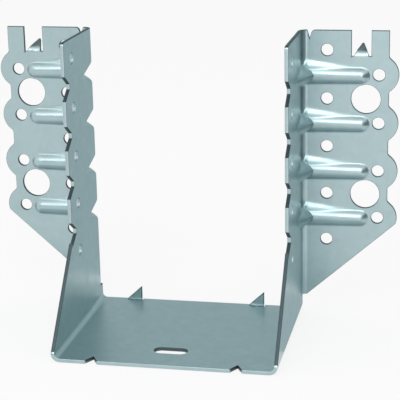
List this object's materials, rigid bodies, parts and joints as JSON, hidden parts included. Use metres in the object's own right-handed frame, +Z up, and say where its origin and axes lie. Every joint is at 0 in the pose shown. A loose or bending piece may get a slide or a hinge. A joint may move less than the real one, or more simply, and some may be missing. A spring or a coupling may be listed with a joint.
{
  "type": "joist hanger",
  "caption": "Folded sheet-steel joist hanger: a seat between two tapering walls, with outward wings that have ribs, nail holes, bolt holes and lobed edges.",
  "frame": {"origin": "centre of the seat's underside", "axes": "+Y towards the header face that the wings are fixed to, +Z up, +X across the joist"},
  "size_m": [0.1684, 0.0765, 0.121],
  "materials": {
    "galvanised_steel": "galvanised zinc, satin, lightly spangled"
  },
  "bodies": {
    "root": {"joist_hanger": "galvanised_steel"}
  },
  "joints": []
}
